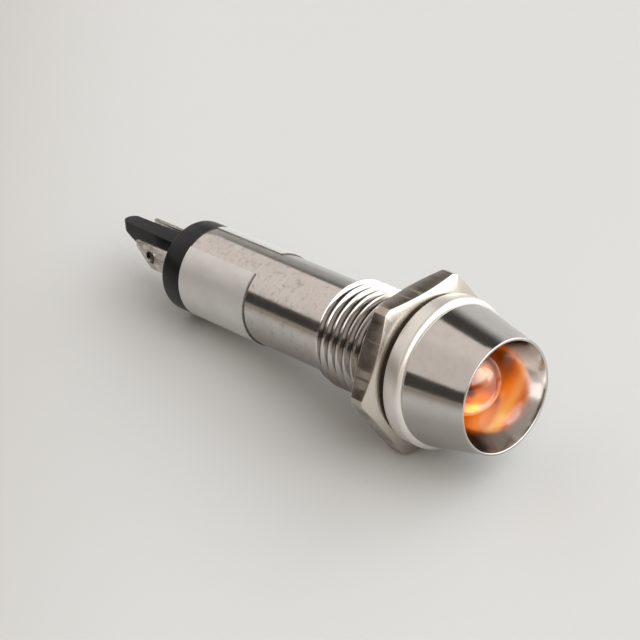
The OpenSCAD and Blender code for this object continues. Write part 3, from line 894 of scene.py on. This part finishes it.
def addCamera():
    # it is held level across the lamp's own upright plane
    data = bpy.data.cameras.new("camera")
    data.lens = camera["lens"]
    data.sensor_width = camera["sensor"]
    data.clip_start = 0.01
    eye = bpy.data.objects.new("camera", data)
    bpy.context.scene.collection.objects.link(eye)
    place = Vector(camera["place"]) * mm
    forward = (Vector(camera["lookAt"]) * mm - place).normalized()
    right = forward.cross(viewUp).normalized()
    turned = Matrix((right, right.cross(forward), -forward)).transposed().to_4x4()
    turned.translation = place
    eye.matrix_world = turned
    bpy.context.scene.camera = eye
    print("camera placed", round(place.length / mm, 1), "mm from the lamp's seat")
    return forward


forward = addCamera()
away = (forward - floorUp * forward.dot(floorUp)).normalized()
rightward = away.cross(floorUp).normalized()

# the studio, seen from the lamp: bearings in degrees, 0 straight away from the camera and
# positive to the right, heights over the table, and how softly each panel's left edge, right
# edge and level edges fade; a later panel covers the ones before it
studio = {
    "dark": (0.065, 0.06, 0.055), "backdrop": "#E2E1DD",
    "panels": [
        # the far wall, dim to the left
        {"bearing": (-42, 14), "height": (-10, 22), "soft": (24, 8, 16), "colour": "#FFFDFB", "level": 0.48},
        {"bearing": (8, 75), "height": (-10, 34), "soft": (16, 16, 22), "colour": "#FFFEFC", "level": 0.8},
        # warm light from the room behind the camera
        {"bearing": (-180, -150), "height": (6, 66), "soft": (10, 12, 8), "colour": "#FFE2C8", "level": 1.3},
        # the left softbox, and its brighter middle
        {"bearing": (-125, -6.5), "height": (18.5, 72), "soft": (3, 2.5, 1.6), "colour": "#FFF6EF",
         "level": 0.86},
        {"bearing": (-80, -6.5), "height": (18.5, 72), "soft": (34, 2.5, 1.6), "colour": "#FFF6F0",
         "level": 1.02},
        # the large softbox on the right, the white card under it, and its two bright lamps
        {"bearing": (46, 106), "height": (-6, 34), "soft": (10, 12, 4), "colour": "#FFFEFC", "level": 3.0},
        {"bearing": (24, 181), "height": (24, 82), "soft": (5, 5, 6), "colour": "#FFFEFD", "level": 1.4},
        {"bearing": (26, 88), "height": (20, 50), "soft": (8, 8, 8), "colour": "#FFFEFD", "level": 3.0},
        {"bearing": (98, 164), "height": (15, 64), "soft": (10, 10, 10), "colour": "#FFFEFC", "level": 3.7},
    ],
}


def windowed(tree, value, bounds, softLow, softHigh):
    # 1 between two angles, with soft edges
    low, high, riseHalf, fallHalf = (math.radians(d) for d in (*bounds, softLow / 2, softHigh / 2))
    rise = spread(tree, value, 0.0, 1.0, low - riseHalf, low + riseHalf, True)
    fall = spread(tree, value, 1.0, 0.0, high - fallHalf, high + fallHalf, True)
    return sums(tree, "MULTIPLY", rise, fall)


def makeStudio():
    world = bpy.data.worlds.new("studio")
    world.use_nodes = True
    bpy.context.scene.world = world
    tree = world.node_tree
    tree.nodes.clear()
    turn = Matrix((away, -rightward, floorUp)).to_euler("XYZ")
    ray = addNode(tree, "ShaderNodeTexCoord")
    level = addNode(tree, "ShaderNodeMapping", {"Rotation": turn}, {"Vector": ray.outputs["Generated"]})
    axes = addNode(tree, "ShaderNodeSeparateXYZ", None, {0: level.outputs["Vector"]})
    right = sums(tree, "MULTIPLY", axes.outputs["Y"], -1.0)
    bearing = sums(tree, "ARCTAN2", right, axes.outputs["X"])
    height = sums(tree, "ARCSINE", axes.outputs["Z"], None)
    light = addNode(tree, "ShaderNodeRGB").outputs[0]
    light.default_value = (*studio["dark"], 1)
    for panel in studio["panels"]:
        softLeft, softRight, softHeight = panel["soft"]
        inside = sums(tree, "MULTIPLY", windowed(tree, bearing, panel["bearing"], softLeft, softRight),
                      windowed(tree, height, panel["height"], softHeight, softHeight))
        glow = addNode(tree, "ShaderNodeMix", {"data_type": "RGBA"}, {0: inside, 6: light})
        red, green, blue, _ = hexColour(panel["colour"])
        glow.inputs[7].default_value = [c * panel["level"] for c in (red, green, blue)] + [1]
        light = glow.outputs[2]
    around = addNode(tree, "ShaderNodeBackground", {"Strength": 1.0}, {"Color": light})
    # the camera itself sees a plain pale backdrop
    pale = addNode(tree, "ShaderNodeBackground", {"Color": hexColour(studio["backdrop"]), "Strength": 1.0})
    path = addNode(tree, "ShaderNodeLightPath")
    mix = addNode(tree, "ShaderNodeMixShader", None,
                  {0: path.outputs["Is Camera Ray"], 1: around.outputs["Background"],
                   2: pale.outputs["Background"]})
    addNode(tree, "ShaderNodeOutputWorld", None, {"Surface": mix.outputs["Shader"]})
    print("studio lit by", len(studio["panels"]), "panels")


makeStudio()

# a sheet of matt laminate, faintly uneven
floorLook = {
    "light": "#C2C4C4", "dark": "#BEC0BF", "unlit": "#8A847B", "blob": 60, "gloss": (0.5, 0.6),
    "grain": 0.5, "depth": 0.01, "reach": (16, 72),
}
floorGap = 0.02


def laminate():
    # painted shade: the sheet's colour is darker to the left, where it leaves the lamps' reach
    look = floorLook
    material = mottledFinish("mattLaminate", look)
    tree = material.node_tree
    surface = next(n for n in tree.nodes if n.type == "BSDF_PRINCIPLED")
    tone = surface.inputs["Base Color"].links[0].from_socket
    left = addNode(tree, "ShaderNodeVectorMath", {"operation": "DOT_PRODUCT"}, {0: objectPlace(tree)})
    left.inputs[1].default_value = -rightward
    unlit = spread(tree, left.outputs["Value"], 0.0, 1.0, *metres(look["reach"]), True)
    tree.links.new(mixColour(tree, unlit, tone, look["unlit"]), surface.inputs["Base Color"])
    return material


def makeFloor():
    deselectAll()
    bpy.ops.mesh.primitive_circle_add(vertices=96, radius=3, fill_type="NGON")
    floor = startPiece("floor")
    # it passes just under the rear edge of the nut's lower flat
    halfNut = nut["flats"] / 2
    touch = Vector((nut["rear"], math.sin(roll) * halfNut, -math.cos(roll) * halfNut)) * mm
    floor.rotation_euler = floorUp.to_track_quat("Z", "Y").to_euler()
    floor.location = touch - floorUp * floorGap * mm
    makeActive(floor)
    bpy.ops.object.transform_apply(location=True, rotation=True, scale=True)
    wear(floor, laminate())
    print("floor laid, tilted", round(math.degrees(tilt), 1), "degrees against the lamp")


makeFloor()
bpy.context.scene.view_settings.view_transform = "Standard"
